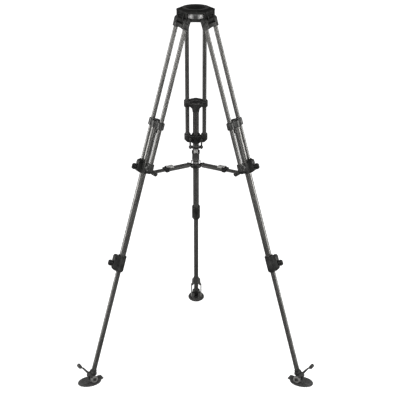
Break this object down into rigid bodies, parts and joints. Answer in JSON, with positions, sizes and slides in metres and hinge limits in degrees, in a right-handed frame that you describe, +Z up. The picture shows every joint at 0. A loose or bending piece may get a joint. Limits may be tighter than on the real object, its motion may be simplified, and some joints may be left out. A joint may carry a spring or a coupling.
{
  "type": "camera tripod",
  "caption": "Standing camera tripod with a bowl crown, twin-tube telescopic legs, lever clamps, a mid-level spreader and swivelling rubber foot pads with pull straps.",
  "frame": {"origin": "middle of the footprint's bounding box, on the floor", "axes": "+Z up, +Y towards the rear leg, the front of the picture faces -Y"},
  "size_m": [0.9784, 0.8551, 1.52],
  "materials": {
    "black_casting": "satin",
    "bowl_enamel": "gloss",
    "carbon_tube": "satin",
    "black_plastic": "satin",
    "pad_rubber": "matte",
    "strap_rubber": "matte",
    "pin_steel": "satin",
    "spreader_aluminium": "satin",
    "latch_grey": "matte"
  },
  "bodies": {
    "crown": {"crown_casting": "black_casting", "bowl_seat": "bowl_enamel", "rear_hinge_pin": "pin_steel", "left_hinge_pin": "pin_steel", "right_hinge_pin": "pin_steel"},
    "rear_leg_upper_body": {"rear_upper_yoke": "black_casting", "rear_upper_tube_a": "carbon_tube", "rear_upper_tube_b": "carbon_tube", "rear_lower_yoke": "black_casting", "rear_bracket_pin": "pin_steel"},
    "rear_leg_middle_body": {"rear_slider": "black_casting", "rear_middle_tube": "carbon_tube", "rear_lower_clamp": "black_casting"},
    "rear_leg_lower_body": {"rear_lower_tube": "carbon_tube", "rear_ankle": "black_casting", "rear_ankle_pin": "pin_steel"},
    "rear_pad_body": {"rear_foot_pad": "pad_rubber"},
    "rear_strap_body": {"rear_foot_strap": "strap_rubber"},
    "rear_mid_lever_body": {"rear_mid_lock_lever": "black_plastic"},
    "rear_low_lever_body": {"rear_low_lock_lever": "black_plastic"},
    "rear_bar_body": {"rear_spreader_bar": "spreader_aluminium"},
    "rear_channel_body": {"rear_spreader_channel": "spreader_aluminium"},
    "rear_latch_body": {"rear_spreader_latch": "latch_grey"},
    "left_leg_upper_body": {"left_upper_yoke": "black_casting", "left_upper_tube_a": "carbon_tube", "left_upper_tube_b": "carbon_tube", "left_lower_yoke": "black_casting", "left_bracket_pin": "pin_steel"},
    "left_leg_middle_body": {"left_slider": "black_casting", "left_middle_tube": "carbon_tube", "left_lower_clamp": "black_casting"},
    "left_leg_lower_body": {"left_lower_tube": "carbon_tube", "left_ankle": "black_casting", "left_ankle_pin": "pin_steel"},
    "left_pad_body": {"left_foot_pad": "pad_rubber"},
    "left_strap_body": {"left_foot_strap": "strap_rubber"},
    "left_mid_lever_body": {"left_mid_lock_lever": "black_plastic"},
    "left_low_lever_body": {"left_low_lock_lever": "black_plastic"},
    "left_bar_body": {"left_spreader_bar": "spreader_aluminium"},
    "left_channel_body": {"left_spreader_channel": "spreader_aluminium"},
    "left_latch_body": {"left_spreader_latch": "latch_grey"},
    "right_leg_upper_body": {"right_upper_yoke": "black_casting", "right_upper_tube_a": "carbon_tube", "right_upper_tube_b": "carbon_tube", "right_lower_yoke": "black_casting", "right_bracket_pin": "pin_steel"},
    "right_leg_middle_body": {"right_slider": "black_casting", "right_middle_tube": "carbon_tube", "right_lower_clamp": "black_casting"},
    "right_leg_lower_body": {"right_lower_tube": "carbon_tube", "right_ankle": "black_casting", "right_ankle_pin": "pin_steel"},
    "right_pad_body": {"right_foot_pad": "pad_rubber"},
    "right_strap_body": {"right_foot_strap": "strap_rubber"},
    "right_mid_lever_body": {"right_mid_lock_lever": "black_plastic"},
    "right_low_lever_body": {"right_low_lock_lever": "black_plastic"},
    "right_bar_body": {"right_spreader_bar": "spreader_aluminium"},
    "right_channel_body": {"right_spreader_channel": "spreader_aluminium"},
    "right_latch_body": {"right_spreader_latch": "latch_grey"},
    "hub_body": {"spreader_hub": "black_casting"}
  },
  "joints": [
    {"name": "rear_splay", "type": "hinge", "parent": "crown", "child": "rear_leg_upper_body", "pos_m": [0, -0.0733, 1.476], "axis": [-1, 0, 0], "range_deg": [0, 15]},
    {"name": "rear_mid_slide", "type": "slide", "parent": "rear_leg_upper_body", "child": "rear_leg_middle_body", "axis": [0, 0.285, -0.9585], "range_m": [-0.34, 0.11]},
    {"name": "rear_low_slide", "type": "slide", "parent": "rear_leg_middle_body", "child": "rear_leg_lower_body", "axis": [0, 0.285, -0.9585], "range_m": [-0.38, 0.05]},
    {"name": "rear_mid_lever_turn", "type": "hinge", "parent": "rear_leg_upper_body", "child": "rear_mid_lever_body", "pos_m": [0, 0.13767, 0.91485], "axis": [0, 0.9585, 0.285], "range_deg": [0, 90]},
    {"name": "rear_low_lever_turn", "type": "hinge", "parent": "rear_leg_middle_body", "child": "rear_low_lever_body", "pos_m": [0, 0.25466, 0.52138], "axis": [0, 0.9585, 0.285], "range_deg": [0, 90]},
    {"name": "rear_pad_tilt", "type": "hinge", "parent": "rear_leg_lower_body", "child": "rear_pad_body", "pos_m": [0, 0.36431, 0.021], "axis": [-1, 0, 0], "range_deg": [-25, 25]},
    {"name": "rear_strap_swing", "type": "hinge", "parent": "rear_leg_lower_body", "child": "rear_strap_body", "pos_m": [0, 0.36431, 0.021], "axis": [-1, 0, 0], "range_deg": [-20, 25]},
    {"name": "rear_bar_fold", "type": "hinge", "parent": "rear_leg_upper_body", "child": "rear_bar_body", "pos_m": [0, 0.066, 0.875], "axis": [-1, 0, 0], "range_deg": [0, 70.8]},
    {"name": "rear_channel_slide", "type": "slide", "parent": "rear_bar_body", "child": "rear_channel_body", "axis": [0, 1, 0], "range_m": [0, 0.0401]},
    {"name": "rear_latch_flip", "type": "hinge", "parent": "rear_channel_body", "child": "rear_latch_body", "pos_m": [0, -0.002, 0.8855], "axis": [-1, 0, 0], "range_deg": [0, 30]},
    {"name": "left_splay", "type": "hinge", "parent": "crown", "child": "left_leg_upper_body", "pos_m": [-0.05084, -0.16135, 1.476], "axis": [0.5, -0.866, 0], "range_deg": [0, 15]},
    {"name": "left_mid_slide", "type": "slide", "parent": "left_leg_upper_body", "child": "left_leg_middle_body", "axis": [-0.2468, -0.1425, -0.9585], "range_m": [-0.34, 0.11]},
    {"name": "left_low_slide", "type": "slide", "parent": "left_leg_middle_body", "child": "left_leg_lower_body", "axis": [-0.2468, -0.1425, -0.9585], "range_m": [-0.38, 0.05]},
    {"name": "left_mid_lever_turn", "type": "hinge", "parent": "left_leg_upper_body", "child": "left_mid_lever_body", "pos_m": [-0.23354, -0.26684, 0.91485], "axis": [-0.8301, -0.4793, 0.285], "range_deg": [0, 90]},
    {"name": "left_low_lever_turn", "type": "hinge", "parent": "left_leg_middle_body", "child": "left_low_lever_body", "pos_m": [-0.33486, -0.32533, 0.52138], "axis": [-0.8301, -0.4793, 0.285], "range_deg": [0, 90]},
    {"name": "left_pad_tilt", "type": "hinge", "parent": "left_leg_lower_body", "child": "left_pad_body", "pos_m": [-0.42982, -0.38016, 0.021], "axis": [0.5, -0.866, 0], "range_deg": [-25, 25]},
    {"name": "left_strap_swing", "type": "hinge", "parent": "left_leg_lower_body", "child": "left_strap_body", "pos_m": [-0.42982, -0.38016, 0.021], "axis": [0.5, -0.866, 0], "range_deg": [-20, 25]},
    {"name": "left_bar_fold", "type": "hinge", "parent": "left_leg_upper_body", "child": "left_bar_body", "pos_m": [-0.17147, -0.231, 0.875], "axis": [0.5, -0.866, 0], "range_deg": [0, 70.8]},
    {"name": "left_channel_slide", "type": "slide", "parent": "left_bar_body", "child": "left_channel_body", "axis": [-0.866, -0.5, 0], "range_m": [0, 0.0401]},
    {"name": "left_latch_flip", "type": "hinge", "parent": "left_channel_body", "child": "left_latch_body", "pos_m": [-0.11258, -0.197, 0.8855], "axis": [0.5, -0.866, 0], "range_deg": [0, 30]},
    {"name": "right_splay", "type": "hinge", "parent": "crown", "child": "right_leg_upper_body", "pos_m": [0.05084, -0.16135, 1.476], "axis": [0.5, 0.866, 0], "range_deg": [0, 15]},
    {"name": "right_mid_slide", "type": "slide", "parent": "right_leg_upper_body", "child": "right_leg_middle_body", "axis": [0.2468, -0.1425, -0.9585], "range_m": [-0.34, 0.11]},
    {"name": "right_low_slide", "type": "slide", "parent": "right_leg_middle_body", "child": "right_leg_lower_body", "axis": [0.2468, -0.1425, -0.9585], "range_m": [-0.38, 0.05]},
    {"name": "right_mid_lever_turn", "type": "hinge", "parent": "right_leg_upper_body", "child": "right_mid_lever_body", "pos_m": [0.23354, -0.26684, 0.91485], "axis": [0.8301, -0.4793, 0.285], "range_deg": [0, 90]},
    {"name": "right_low_lever_turn", "type": "hinge", "parent": "right_leg_middle_body", "child": "right_low_lever_body", "pos_m": [0.33486, -0.32533, 0.52138], "axis": [0.8301, -0.4793, 0.285], "range_deg": [0, 90]},
    {"name": "right_pad_tilt", "type": "hinge", "parent": "right_leg_lower_body", "child": "right_pad_body", "pos_m": [0.42982, -0.38016, 0.021], "axis": [0.5, 0.866, 0], "range_deg": [-25, 25]},
    {"name": "right_strap_swing", "type": "hinge", "parent": "right_leg_lower_body", "child": "right_strap_body", "pos_m": [0.42982, -0.38016, 0.021], "axis": [0.5, 0.866, 0], "range_deg": [-20, 25]},
    {"name": "right_bar_fold", "type": "hinge", "parent": "right_leg_upper_body", "child": "right_bar_body", "pos_m": [0.17147, -0.231, 0.875], "axis": [0.5, 0.866, 0], "range_deg": [0, 70.8]},
    {"name": "right_channel_slide", "type": "slide", "parent": "right_bar_body", "child": "right_channel_body", "axis": [0.866, -0.5, 0], "range_m": [0, 0.0401]},
    {"name": "right_latch_flip", "type": "hinge", "parent": "right_channel_body", "child": "right_latch_body", "pos_m": [0.11258, -0.197, 0.8855], "axis": [0.5, 0.866, 0], "range_deg": [0, 30]},
    {"name": "hub_rise", "type": "slide", "parent": "crown", "child": "hub_body", "axis": [0, 0, 1], "range_m": [0, 0.1142]}
  ],
  "couplings": [
    {"joint": "rear_bar_fold", "follows": "rear_splay", "ratio": 4.715},
    {"joint": "rear_channel_slide", "follows": "rear_splay", "m_per_rad": 0.15279},
    {"joint": "left_splay", "follows": "rear_splay", "ratio": 1},
    {"joint": "left_bar_fold", "follows": "rear_splay", "ratio": 4.715},
    {"joint": "left_channel_slide", "follows": "rear_splay", "m_per_rad": 0.15279},
    {"joint": "right_splay", "follows": "rear_splay", "ratio": 1},
    {"joint": "right_bar_fold", "follows": "rear_splay", "ratio": 4.715},
    {"joint": "right_channel_slide", "follows": "rear_splay", "m_per_rad": 0.15279},
    {"joint": "hub_rise", "follows": "rear_splay", "m_per_rad": 0.43568}
  ]
}
